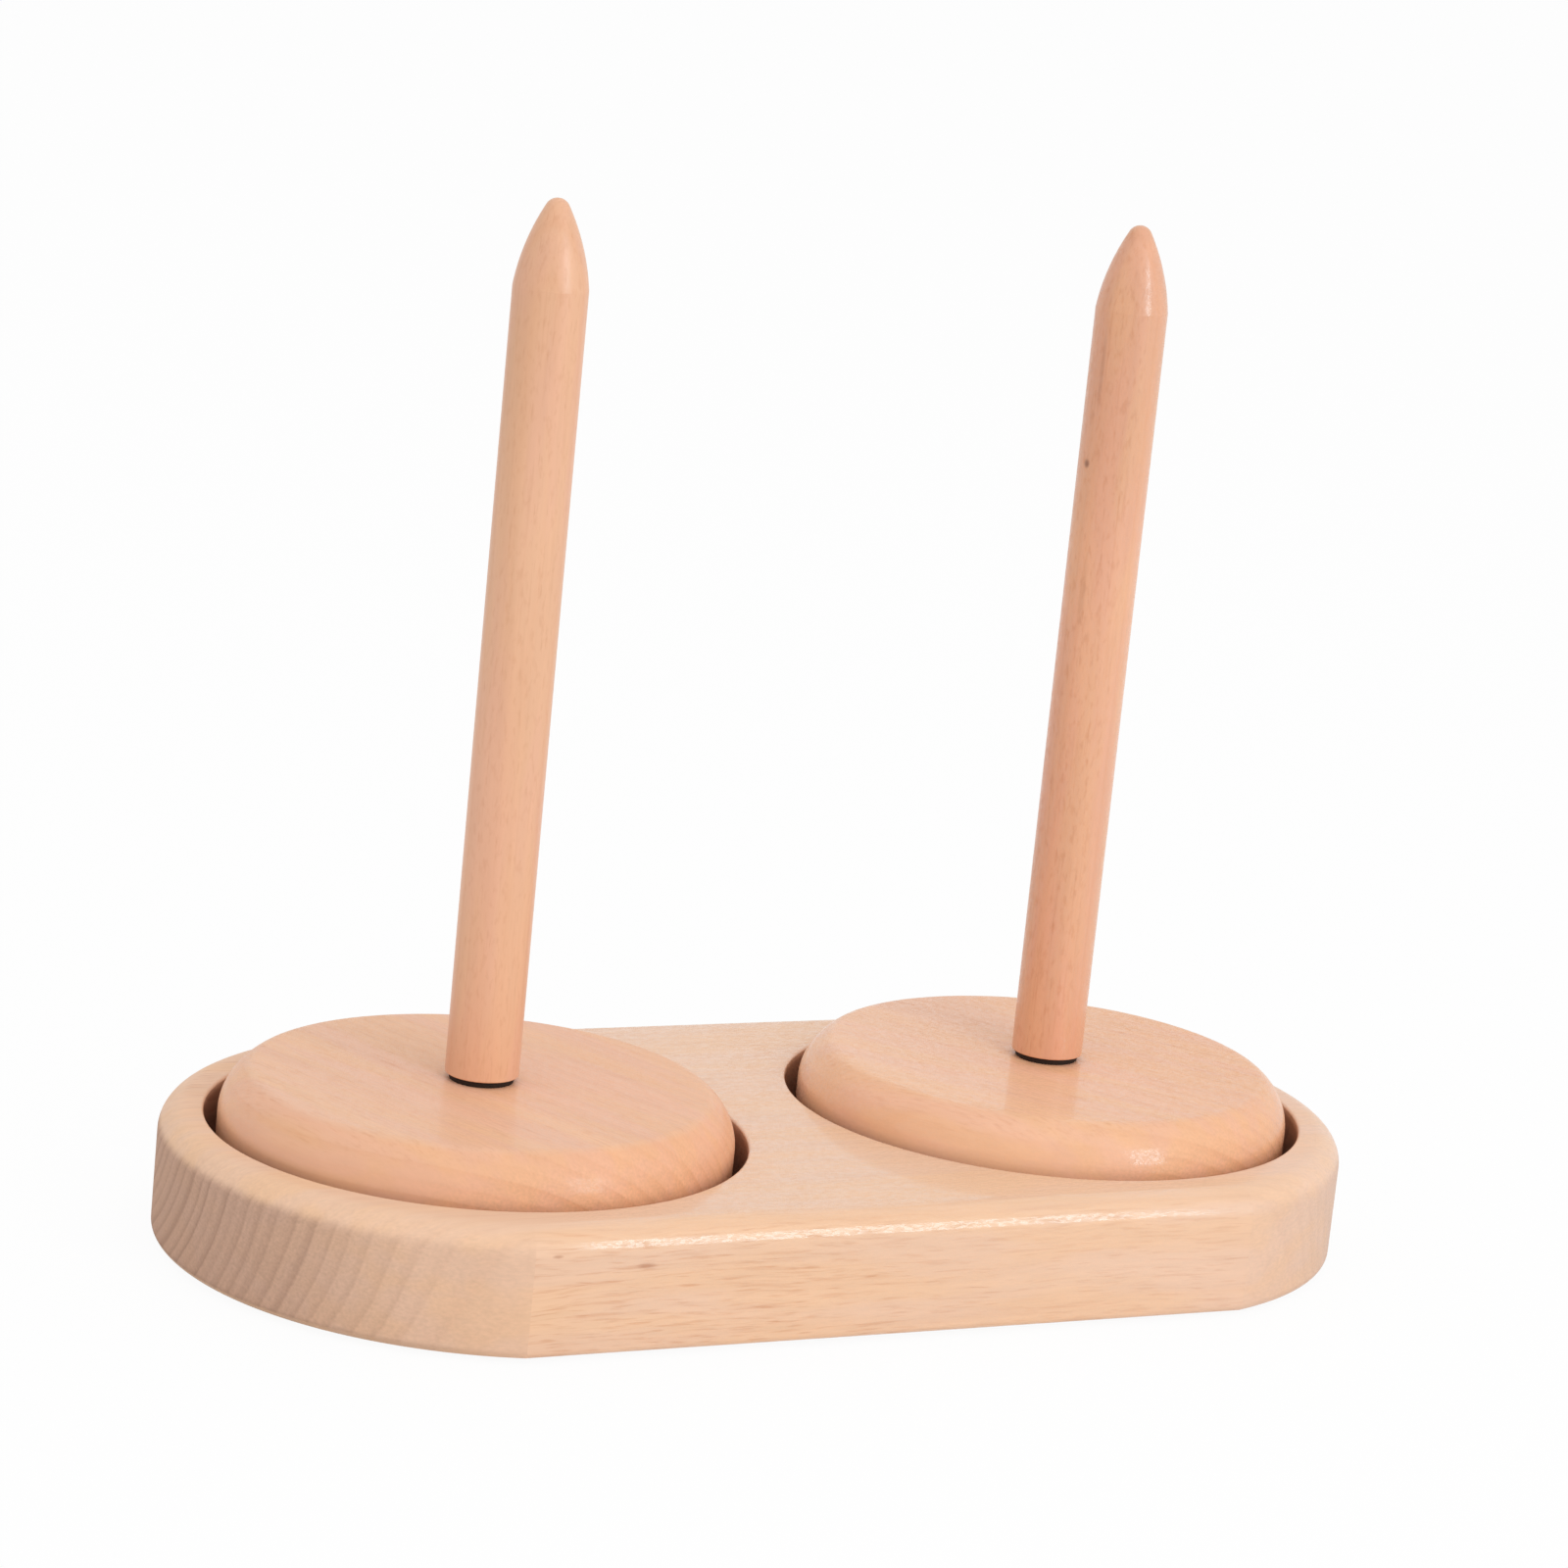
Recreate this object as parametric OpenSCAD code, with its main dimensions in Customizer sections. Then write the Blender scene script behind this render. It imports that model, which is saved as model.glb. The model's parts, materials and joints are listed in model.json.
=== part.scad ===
// Double yarn holder: a beech board with two turntables, each with a spindle post, on ball bearings.
// Millimetres, +Z up, X along the board, origin under the middle of the board on the table.

/* [Turntables] */
// Largest diameter of a turntable disc
disc_d = 122; // [90:1:160]
// Thickness of a turntable disc
disc_thickness = 22; // [20:0.5:30]
// Radial run of the curved rim, from the flat top out to the largest diameter
rim_run = 7; // [4:0.5:9]
// Slope of the rim where it leaves the flat top, in degrees
rim_break_angle = 28; // [15:1:36]
// Rounding of the disc's lower edge
disc_under_round = 2; // [0.5:0.5:2.5]
// Air between the disc's underside and the pocket floor
disc_lift = 2; // [1:0.25:4]

/* [Base board] */
// Height of the board
base_h = 30; // [27:0.5:40]
// Depth of the two round pockets
pocket_depth = 13; // [8:0.5:15]
// Gap between a disc's largest diameter and its pocket
rim_gap = 3.25; // [1.5:0.25:8]
// Wood left between the two pockets
pocket_web = 23.5; // [10:0.5:60]
// Wood left between a pocket and the end of the board
end_wall = 10; // [9:0.5:25]
// Wood left between a pocket and the long sides of the board
side_wall = 12.75; // [9:0.25:25]
// How far the planed sides lie inside the arcs of the ends
flat_inset = 3.25; // [0.5:0.25:4]
// Rounding of the board's top edge
top_round = 6.5; // [2:0.5:7]
// Rounding of the board's bottom edge
bottom_round = 2; // [0.5:0.5:4]
// Rounding of the pocket's mouth
mouth_round = 0.8; // [0.3:0.1:1.2]

/* [Spindle posts] */
// Diameter of a post
post_d = 17.5; // [14:0.5:24]
// Length of the straight part of a post
post_straight = 185.8; // [100:0.5:260]
// Length of the pointed tip
tip_length = 20.5; // [15:0.5:30]
// Radius of the blunt end of the tip
tip_round = 3; // [1:0.2:4]
// Slope of the tip where it leaves the straight part, in degrees
tip_break_angle = 7; // [0:1:8]
// Chamfer at the foot of a post
post_chamfer = 0.4; // [0.2:0.1:1]
// Hole left above the threaded insert in the foot of a post
post_hole_extra = 3.5; // [1:0.5:10]
// Point angle of the drill that made the hole, in degrees
drill_point_angle = 118; // [90:1:140]

/* [Rubber] */
// Thickness of the washer under a post
post_washer_t = 1.5; // [0.8:0.1:3]
// How far the washer's edge lies inside the post's surface
post_washer_inset = 1; // [0.2:0.1:1.2]
// Diameter of a foot pad
pad_d = 14; // [8:1:24]
// Thickness of a foot pad
pad_t = 1.2; // [0.8:0.1:4]
// Wood left between a foot pad and the line of the pocket wall above it
pad_margin = 5; // [2:0.5:12]
// Angle of the foot pads round the bearing axes, in degrees from the board's length
pad_angle = 55; // [35:1:75]

/* [Ball bearings] */
// Bore of a bearing
bearing_bore = 6; // [5:0.1:6.4]
// Outer diameter of a bearing
bearing_d = 19; // [18:0.5:21]
// Width of a bearing
bearing_w = 6; // [5.5:0.5:7]
// Diameter of a ball
ball_d = 3.5; // [3.1:0.1:3.7]
// Number of balls in a bearing
ball_count = 7; // [5:1:7]
// Depth of the ball groove in each race
groove_depth = 0.7; // [0.5:0.05:0.8]
// Radius of a groove as a multiple of the ball's radius
groove_conformity = 1.04; // [1.02:0.01:1.08]
// Chamfer of the races' corners, at the bore and at the outer diameter
race_chamfer = 0.3; // [0.1:0.05:0.4]
// Thickness of a bearing shield
shield_t = 0.3; // [0.2:0.05:0.4]
// How far a shield lies below the face of the bearing
shield_depth = 0.25; // [0.15:0.05:0.35]
// How far a shield reaches into the outer race
shield_seat = 0.5; // [0.3:0.05:0.7]
// Height of the cage's prongs above the middle of the balls
cage_prong = 0.6; // [0.3:0.05:1]
// Width of the ledge that carries the outer race
bearing_ledge = 1.75; // [1:0.05:2]

/* [Hardware] */
// How far the axle bolt stops short of the top of the insert in the post
bolt_short = 1; // [0:0.5:4]
// Width of the bolt's hexagon across its flats
bolt_head_af = 10; // [9:0.5:11.5]
// Height of the bolt's head
bolt_head_h = 4; // [2.5:0.25:4.5]
// Thickness of the shim under the bearing
shim_t = 1; // [0.5:0.1:1.2]
// Flange diameter of the threaded insert in the disc
flange_d = 19; // [14:0.5:24]
// Flange thickness of the threaded insert in the disc
flange_t = 1.4; // [0.8:0.1:2]
// Barrel diameter of the threaded insert in the disc
barrel_d = 7.8; // [7.6:0.1:10]
// Barrel length of the threaded insert in the disc, with its flange
barrel_length = 10; // [6:0.5:14]
// Diameter of the threaded insert in the post
post_insert_d = 9; // [8:0.25:10]
// Length of the threaded insert in the post
post_insert_length = 13; // [8:0.5:20]
// How far the threaded insert is set in from the foot of the post
post_insert_set = 0.5; // [0:0.1:2]

/* [Fits] */
// Radial play between the balls and their grooves
ball_play = 0.02; // [0.01:0.005:0.05]
// Play between the balls and the cage
cage_play = 0.06; // [0.03:0.01:0.1]
// Radial clearance of the bolt in the bearing, the inserts and the spacers
shaft_fit = 0.02; // [0.01:0.005:0.05]
// Radial clearance of inserts, races and shields in their seats
seat_fit = 0.02; // [0.01:0.005:0.05]
// Radial clearance of the bolt where it only passes through
bolt_clearance = 0.3; // [0.15:0.05:0.5]
// Clearance between the shields and the inner race
shield_gap = 0.2; // [0.1:0.05:0.3]
// Clearance between the cage and the races
cage_side_gap = 0.25; // [0.15:0.05:0.35]
// Clearance between the cage and the lower shield
cage_end_gap = 0.15; // [0.05:0.05:0.2]
// How far the rings on the bolt stay inside the inner race's shoulder
hub_ring_inset = 0.1; // [0.05:0.05:0.5]

/* [Hidden] */
$fn = 96;

// Cutters run this far past the faces that they cut
over = 1;

// Plan of the board
disc_r = disc_d / 2;
pocket_r = disc_r + rim_gap;
axis_x = pocket_r + pocket_web / 2;
half_length = axis_x + pocket_r + end_wall;
half_width = pocket_r + side_wall;
end_r = half_width + flat_inset;
end_x = half_length - end_r;

// Heights, from the table up
base_z = pad_t;
base_top = base_z + base_h;
floor_z = base_top - pocket_depth;
bearing_mid = floor_z - bearing_w / 2;
disc_z = floor_z + disc_lift;
disc_top = disc_z + disc_thickness;
post_z = disc_top + post_washer_t;
head_top = floor_z - bearing_w - shim_t;
bolt_end = post_z + post_insert_set + post_insert_length - bolt_short;
post_hole_depth = post_insert_set + post_insert_length + post_hole_extra;

// Turntable rim: one arc, upright at the largest diameter
rim_r = rim_run / (1 - sin(rim_break_angle));
rim_drop = rim_r * cos(rim_break_angle);

// Post tip: an arc that leaves the shoulder at the break angle and runs into the round end
post_r = post_d / 2;
tip_centre = tip_length - tip_round;
ogive_r = (pow(post_r, 2) + pow(tip_centre, 2) - pow(tip_round, 2))
    / (2 * (post_r * cos(tip_break_angle) - tip_centre * sin(tip_break_angle) - tip_round));
ogive_x = post_r - ogive_r * cos(tip_break_angle);
ogive_z = -ogive_r * sin(tip_break_angle);
tip_blend_z = tip_centre + tip_round * (tip_centre - ogive_z) / (ogive_r - tip_round);

// Bearing: pitch circle, grooves a little wider than the balls, and the races' shoulders
ball_r = ball_d / 2;
pitch_r = (bearing_bore + bearing_d) / 4;
groove_r = groove_conformity * ball_r;
groove_shift = groove_r - ball_r - ball_play;
inner_land_r = pitch_r - ball_r + groove_depth;
outer_land_r = pitch_r + ball_r - groove_depth;
shield_r = outer_land_r + shield_seat;
rebate_depth = shield_depth + shield_t;

// Bolt, and the rings that bear on the inner race without reaching the shields
bolt_r = bearing_bore / 2 - shaft_fit;
hub_ring_r = inner_land_r - hub_ring_inset;
access_r = bearing_d / 2 - bearing_ledge;
pad_ring = pocket_r - pad_d / 2 - pad_margin;

beech_board = "#e6cba9";
beech_turned = "#dcae7c";
rubber = "#1d1c1b";
steel = "#b9bcbf";
bearing_steel = "#cfd2d4";
brass = "#c2a14d";
nylon = "#d8d2bf";

// Half of a section with one rounded upper and one rounded lower corner, from the middle out
module half_section(w, h, top_r, low_r) {
    square([w - top_r, h]);
    square([w - low_r, h / 2]);
    translate([0, low_r]) square([w, h - low_r - top_r]);
    translate([w - top_r, h - top_r]) intersection() {
        circle(top_r);
        square(top_r);
    }
    translate([w - low_r, low_r]) intersection() {
        circle(low_r);
        translate([0, -low_r]) square(low_r);
    }
}

// Round ends cut by the planed sides, which leaves a faint upright crease where they meet
module board_blank() {
    intersection() {
        union() {
            for (side = [-1, 1]) translate([side * end_x, 0, 0])
                rotate_extrude() half_section(end_r, base_h, top_round, bottom_round);
            translate([-end_x, -half_width - flat_inset / 2, 0])
                cube([2 * end_x, 2 * half_width + flat_inset, base_h]);
        }
        translate([-half_length - over, 0, 0]) rotate([90, 0, 90])
            linear_extrude(2 * (half_length + over)) for (side = [0, 1])
                mirror([side, 0]) half_section(half_width, base_h, top_round, bottom_round);
    }
}

// Pocket with a rounded mouth, bearing seat, and the hole that takes the bolt's head
module pocket_cutter() {
    rotate_extrude() {
        translate([0, floor_z]) square([pocket_r, pocket_depth + over]);
        difference() {
            translate([0, base_top - mouth_round]) square([pocket_r + mouth_round, mouth_round]);
            translate([pocket_r + mouth_round, base_top - mouth_round]) circle(mouth_round);
        }
        translate([0, floor_z - bearing_w]) square([bearing_d / 2 + seat_fit, bearing_w + over]);
        translate([0, base_z - over]) square([access_r, base_h]);
    }
}

module base_board() {
    color(beech_board) difference() {
        translate([0, 0, base_z]) board_blank();
        for (side = [-1, 1]) translate([side * axis_x, 0, 0]) pocket_cutter();
    }
}

module foot_pads() {
    color(rubber) for (side = [-1, 1], turn = [-1, 1])
        translate([side * (axis_x + pad_ring * cos(pad_angle)), turn * pad_ring * sin(pad_angle), 0])
            cylinder(d = pad_d, h = pad_t);
}

// Flat top, one convex rim arc down to the largest diameter, and a rounded lower edge
module disc_profile() {
    rim_z = disc_top - rim_drop;
    square([disc_r - rim_run, disc_top - disc_z]);
    translate([0, rim_z - disc_z]) intersection() {
        translate([disc_r - rim_r, 0]) circle(rim_r);
        translate([disc_r - rim_run - over, 0]) square([rim_run + 2 * over, rim_drop]);
    }
    translate([0, disc_under_round]) square([disc_r, rim_z - disc_z - disc_under_round]);
    square([disc_r - disc_under_round, disc_under_round]);
    translate([disc_r - disc_under_round, disc_under_round]) intersection() {
        circle(disc_under_round);
        translate([0, -disc_under_round]) square(disc_under_round);
    }
}

module turntable_disc() {
    color(beech_turned) translate([0, 0, disc_z]) difference() {
        rotate_extrude() disc_profile();
        translate([0, 0, -over]) cylinder(r = bolt_r + bolt_clearance, h = disc_thickness + 2 * over);
        translate([0, 0, -over]) cylinder(d = barrel_d + 2 * seat_fit, h = barrel_length + over);
        translate([0, 0, -over]) cylinder(d = flange_d + 2 * seat_fit, h = flange_t + over);
    }
}

module post_profile() {
    polygon([
        [0, 0], [post_r - post_chamfer, 0], [post_r, post_chamfer],
        [post_r, post_straight], [0, post_straight]
    ]);
    translate([0, post_straight]) intersection() {
        translate([ogive_x, ogive_z]) circle(ogive_r, $fn = 360);
        square([post_d, tip_blend_z]);
    }
    translate([0, post_straight]) intersection() {
        translate([0, tip_centre]) circle(tip_round);
        translate([0, tip_blend_z]) square(post_d);
    }
}

module spindle_post() {
    hole_r = post_insert_d / 2 + seat_fit;
    color(beech_turned) translate([0, 0, post_z]) difference() {
        rotate_extrude() post_profile();
        translate([0, 0, -over]) cylinder(r = hole_r, h = post_hole_depth + over);
        translate([0, 0, post_hole_depth])
            cylinder(r1 = hole_r, r2 = 0, h = hole_r / tan(drill_point_angle / 2));
    }
}

// A flat ring, the form of the washers, spacers and shields
module flat_ring(outer_r, inner_r, t) {
    difference() {
        cylinder(r = outer_r, h = t);
        translate([0, 0, -over]) cylinder(r = inner_r, h = t + 2 * over);
    }
}

module post_washer() {
    color(rubber) translate([0, 0, disc_top])
        flat_ring(post_r - post_washer_inset, bolt_r + bolt_clearance, post_washer_t);
}

module post_insert() {
    color(brass) translate([0, 0, post_z + post_insert_set])
        flat_ring(post_insert_d / 2, bolt_r + shaft_fit, post_insert_length);
}

module disc_insert() {
    color(steel) translate([0, 0, disc_z]) difference() {
        union() {
            cylinder(d = flange_d, h = flange_t);
            cylinder(d = barrel_d, h = barrel_length);
        }
        translate([0, 0, -over]) cylinder(r = bolt_r + shaft_fit, h = barrel_length + 2 * over);
    }
}

module hub_spacer() {
    color(steel) translate([0, 0, floor_z]) flat_ring(hub_ring_r, bolt_r + shaft_fit, disc_lift);
}

module axle_bolt() {
    color(steel) translate([0, 0, head_top]) {
        cylinder(r = bolt_r, h = bolt_end - head_top);
        translate([0, 0, -bolt_head_h]) cylinder(d = bolt_head_af / cos(30), h = bolt_head_h, $fn = 6);
    }
}

module bolt_shim() {
    color(steel) translate([0, 0, head_top]) flat_ring(hub_ring_r, bolt_r + shaft_fit, shim_t);
}

// Section of a race from its seat to its grooved side, with chamfered corners at the seat
module race_section(seat_r, land_r) {
    face_r = seat_r + sign(land_r - seat_r) * race_chamfer;
    h = bearing_w / 2;
    polygon([
        [seat_r, race_chamfer - h], [face_r, -h], [land_r, -h],
        [land_r, h], [face_r, h], [seat_r, h - race_chamfer]
    ]);
}

module inner_race() {
    color(bearing_steel) translate([0, 0, bearing_mid]) rotate_extrude() difference() {
        race_section(bearing_bore / 2, inner_land_r);
        translate([pitch_r + groove_shift, 0]) circle(groove_r);
    }
}

module outer_race() {
    color(bearing_steel) translate([0, 0, bearing_mid]) rotate_extrude() difference() {
        race_section(bearing_d / 2, outer_land_r);
        translate([pitch_r - groove_shift, 0]) circle(groove_r);
        translate([0, bearing_w / 2 - rebate_depth]) square([shield_r + seat_fit, rebate_depth + over]);
        translate([0, -bearing_w / 2 - over]) square([shield_r + seat_fit, rebate_depth + over]);
    }
}

module bearing_balls() {
    color(bearing_steel) for (i = [0 : ball_count - 1])
        rotate([0, 0, i * 360 / ball_count]) translate([pitch_r, 0, bearing_mid]) sphere(ball_r);
}

// Crown cage: a ring under the balls with a prong between each two of them
module bearing_cage() {
    cage_floor = bearing_w / 2 - rebate_depth - cage_end_gap;
    color(nylon) translate([0, 0, bearing_mid]) difference() {
        translate([0, 0, -cage_floor])
            flat_ring(outer_land_r - cage_side_gap, inner_land_r + cage_side_gap, cage_floor + cage_prong);
        for (i = [0 : ball_count - 1])
            rotate([0, 0, i * 360 / ball_count]) translate([pitch_r, 0, 0]) sphere(ball_r + cage_play);
    }
}

module bearing_shields() {
    color(steel) for (z = [-bearing_w / 2 + shield_depth, bearing_w / 2 - rebate_depth])
        translate([0, 0, bearing_mid + z]) flat_ring(shield_r, inner_land_r + shield_gap, shield_t);
}

module left() {
    translate([-axis_x, 0, 0]) children();
}

module right() {
    translate([axis_x, 0, 0]) children();
}

base_board();
foot_pads();
left() turntable_disc();  // left_turntable_disc
left() spindle_post();  // left_spindle_post
left() post_washer();  // left_post_washer
left() post_insert();  // left_post_insert
left() disc_insert();  // left_disc_insert
left() hub_spacer();  // left_hub_spacer
left() axle_bolt();  // left_axle_bolt
left() bolt_shim();  // left_bolt_shim
left() inner_race();  // left_inner_race
left() outer_race();  // left_outer_race
left() bearing_balls();  // left_bearing_balls
left() bearing_cage();  // left_bearing_cage
left() bearing_shields();  // left_bearing_shields
right() turntable_disc();  // right_turntable_disc
right() spindle_post();  // right_spindle_post
right() post_washer();  // right_post_washer
right() post_insert();  // right_post_insert
right() disc_insert();  // right_disc_insert
right() hub_spacer();  // right_hub_spacer
right() axle_bolt();  // right_axle_bolt
right() bolt_shim();  // right_bolt_shim
right() inner_race();  // right_inner_race
right() outer_race();  // right_outer_race
right() bearing_balls();  // right_bearing_balls
right() bearing_cage();  // right_bearing_cage
right() bearing_shields();  // right_bearing_shields
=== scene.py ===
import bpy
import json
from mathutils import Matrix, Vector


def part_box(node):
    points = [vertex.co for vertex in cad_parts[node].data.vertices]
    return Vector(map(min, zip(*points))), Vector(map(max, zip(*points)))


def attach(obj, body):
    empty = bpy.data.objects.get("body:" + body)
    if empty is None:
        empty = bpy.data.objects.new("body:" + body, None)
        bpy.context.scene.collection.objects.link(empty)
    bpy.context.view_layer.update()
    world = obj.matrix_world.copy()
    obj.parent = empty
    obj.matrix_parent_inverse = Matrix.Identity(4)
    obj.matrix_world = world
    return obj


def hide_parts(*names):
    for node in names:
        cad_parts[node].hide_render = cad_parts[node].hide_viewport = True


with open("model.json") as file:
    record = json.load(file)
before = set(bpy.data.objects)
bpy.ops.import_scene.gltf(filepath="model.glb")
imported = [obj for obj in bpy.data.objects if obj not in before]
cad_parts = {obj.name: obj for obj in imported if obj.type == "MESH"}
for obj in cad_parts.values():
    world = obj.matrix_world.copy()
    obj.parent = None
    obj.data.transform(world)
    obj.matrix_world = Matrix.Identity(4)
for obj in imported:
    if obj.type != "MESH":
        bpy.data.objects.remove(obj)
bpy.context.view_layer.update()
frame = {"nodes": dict(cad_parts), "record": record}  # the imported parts, in metres, z up from the table

import json
import math
from types import SimpleNamespace

import bmesh
import bpy
import numpy as np
from mathutils import Matrix, Quaternion, Vector

scene = bpy.context.scene
scene.view_settings.view_transform = "Standard"
mm = 0.001

# Camera at the photograph's angle: it looks slightly down and is rolled a few degrees
view = dict(
    place=(-0.5100, -0.9985, 0.3674), target=(-0.0044, 0.0, 0.1129), rollDeg=5.77,
    lensMm=110.5, sensorMm=36, clipStart=0.01,
)


def addCamera():
    forward = (Vector(view["target"]) - Vector(view["place"])).normalized()
    level = forward.cross(Vector((0, 0, 1))).normalized()
    upright = level.cross(forward)
    roll = math.radians(view["rollDeg"])
    right = level * math.cos(roll) + upright * math.sin(roll)
    up = upright * math.cos(roll) - level * math.sin(roll)
    lens = bpy.data.cameras.new("photoCamera")
    lens.sensor_fit = "HORIZONTAL"
    lens.sensor_width = view["sensorMm"]
    lens.lens = view["lensMm"]
    lens.clip_start = view["clipStart"]
    camera = bpy.data.objects.new("photoCamera", lens)
    turn = Matrix((right, up, -forward)).transposed().to_4x4()
    camera.matrix_world = Matrix.Translation(Vector(view["place"])) @ turn
    scene.collection.objects.link(camera)
    scene.camera = camera


addCamera()
print("camera set")


# One socket of a node tree. Sums and products of wires and numbers add Math nodes
class Wire:
    def __init__(self, tree, socket=None):
        self.tree = tree
        self.socket = socket

    def node(self, kind, settings=None, inputs=None, output=0):
        made = self.tree.nodes.new("ShaderNode" + kind)
        for name, value in (settings or {}).items():
            setattr(made, name, value)
        for key, value in (inputs or {}).items():
            if isinstance(value, Wire):
                self.tree.links.new(value.socket, made.inputs[key])
            else:
                made.inputs[key].default_value = value
        return Wire(self.tree, made.outputs[output] if len(made.outputs) else None)

    def part(self, output):  # another output of the same node
        return Wire(self.tree, self.socket.node.outputs[output])

    def math(self, operation, *values):
        return self.node("Math", {"operation": operation}, dict(enumerate(values)))

    def __add__(self, other):
        return self.math("ADD", self, other)

    def __radd__(self, other):
        return self.math("ADD", other, self)

    def __sub__(self, other):
        return self.math("SUBTRACT", self, other)

    def __rsub__(self, other):
        return self.math("SUBTRACT", other, self)

    def __mul__(self, other):
        return self.math("MULTIPLY", self, other)

    def __rmul__(self, other):
        return self.math("MULTIPLY", other, self)

    def __truediv__(self, other):
        return self.math("DIVIDE", self, other)

    def __pow__(self, other):
        return self.math("POWER", self, other)

    def __abs__(self):
        return self.math("ABSOLUTE", self)

    def step(self, low, high):  # smooth step from 0 at low to 1 at high
        settings = {"interpolation_type": "SMOOTHSTEP"}
        ends = {"Value": self, "From Min": low, "From Max": high}
        return self.node("MapRange", settings, ends)

    def split(self):  # the x, y and z of a vector
        x = self.node("SeparateXYZ", {}, {"Vector": self}, "X")
        return x, x.part("Y"), x.part("Z")

    def stretch(self, x, y, z):  # a vector times one factor for each axis
        return self.node("VectorMath", {"operation": "MULTIPLY"}, {0: self, 1: (x, y, z)})

    def noise(self, scale, detail, output="Fac"):
        return self.node("TexNoise", {}, {"Vector": self, "Scale": scale, "Detail": detail}, output)

    def mottle(self, cell, detail=2, output="Fac"):  # noise with its own cells along each axis
        return self.stretch(*cell).noise(1, detail, output)

    def ripple(self, scale, detail):  # noise along one number
        inputs = {"W": self, "Scale": scale, "Detail": detail}
        return self.node("TexNoise", {"noise_dimensions": "1D"}, inputs, "Fac")

    def blend(self, first, second):  # first colour where this is 0, second where it is 1
        settings = {"data_type": "RGBA", "clamp_factor": True}
        return self.node("Mix", settings, {0: self, 6: first, 7: second}, 2)

    def brighten(self, amount):  # a colour times a number
        return self.node("VectorMath", {"operation": "SCALE"}, {"Vector": self, "Scale": amount})


def spread(first, second):  # distance from two offsets at right angles
    return (first * first + second * second) ** 0.5


def paint(red, green, blue):  # a colour as seen on a screen, 0 to 255, made linear
    part = np.array([red, green, blue]) / 255
    linear = np.where(part <= 0.04045, part / 12.92, ((part + 0.055) / 1.055) ** 2.4)
    return tuple(linear.tolist()) + (1.0,)


def newMaterial(name):
    material = bpy.data.materials.new(name)
    material.use_nodes = True
    material.node_tree.nodes.clear()
    return material, Wire(material.node_tree)


def finishMaterial(root, inputs):
    shader = root.node("BsdfPrincipled", {}, inputs)
    root.node("OutputMaterial", {}, {"Surface": shader})


# Noise cells to the metre along the grain, across it and up, for each kind of mark in beech
cells = dict(
    sway=(4.2, 14, 14), fuzz=(12, 420, 420), wander=(32, 60, 60), fibre=(60, 800, 800),
    streak=(8, 150, 150), cloud=(7, 26, 26), blush=(16, 120, 120), line=(45, 1300, 1300),
    pore=(260, 1500, 1500), waver=(70, 260, 260), speck=(600, 1700, 1700),
)
# Where each mark starts and where it is full: first by how far a face is turned, then by its noise
edges = dict(
    back=(0.35, 0.8), top=(0.12, 0.55), endSoft=(0.1, 0.5), endFull=(0.5, 0.97), endRing=(0.4, 0.97),
    # the painted shade along the lower edge shows on faces turned this far to the grain
    bottomShade=(0.1, 0.6),
    ringFall=(0.82, 1.0), dash=(0.50, 0.74), line=(0.55, 0.75), blush=(0.38, 0.62), speck=(0.43, 0.59),
    ray=(0.10, 0.38), mark=(0.2, 1.0),
)
# Amounts that all the beech shares
habit = dict(
    # end grain and rings
    fadeLean=0.6, endSoft=0.3, endFull=0.7, ringFade=3, unevenCells=60, yearLeast=0.4, yearSpan=0.8,
    # rays and spokes
    rayWaver=2.4, spokeTurn=230, spokeCells=60, fineCells=900,
    # pores, and the painted shade along the lower edge
    poreEnd=0.16, poreSlant=0.2, bottomShadeLeast=0.6, bottomShadePore=0.8, bottomShadeTone=0.25,
    # lacquer and relief
    glossFibre=0.06, glossDry=0.35, coatLeast=0.45, coatSpeck=0.85, coatDash=0.4, coatRight=0.5,
    reliefFibre=0.1, reliefPore=0.12, reliefDash=0.5, reliefRay=0.3, reliefM=0.2 * mm,
)


# How each face lies to the grain. The pith line is the local x axis at pith, turned by turnDeg
def layGrain(root, wood):
    turn = tuple(math.radians(angle) for angle in wood["turnDeg"])
    place = root.node("TexCoord", {}, {}, "Object")
    normal = root.node("TexCoord", {}, {}, "Normal")
    lie = {"Vector": place, "Location": wood["pith"], "Rotation": turn}
    grain = root.node("Mapping", {"vector_type": "TEXTURE"}, lie)
    facing = root.node("Mapping", {"vector_type": "TEXTURE"}, {"Vector": normal, "Rotation": turn})
    along, across, upward = grain.split()
    faceAlong, faceAcross, faceUp = facing.split()
    pithRadius = spread(across, upward)
    outward = abs(faceAcross * across + faceUp * upward) / pithRadius
    endOn = abs(faceAlong)
    sideOn = 1 - endOn.step(*wood["endStart"])
    upOn = abs(normal.split()[2])
    upright = 1 - upOn.step(*edges["top"]) * wood["topPlain"]
    fade = 1 - (along + upward * habit["fadeLean"]).step(*wood["markFade"]) * wood["markFadeBy"]
    softEnd = endOn.step(*edges["endSoft"]) * habit["endSoft"]
    fullEnd = endOn.step(*edges["endFull"]) * habit["endFull"]
    x, y, z = place.split()
    return SimpleNamespace(
        place=place, x=x, y=y, z=z, grain=grain, along=along, pithRadius=pithRadius,
        angle=upward.math("ARCTAN2", upward, across), endOn=endOn, sideOn=sideOn,
        backOn=outward.step(*edges["back"]) * sideOn, fade=fade,
        endMask=(softEnd + fullEnd) * upright * fade,
        ringMask=endOn.step(*edges["endRing"]) * upright * fade ** habit["ringFade"],
    )


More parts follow.
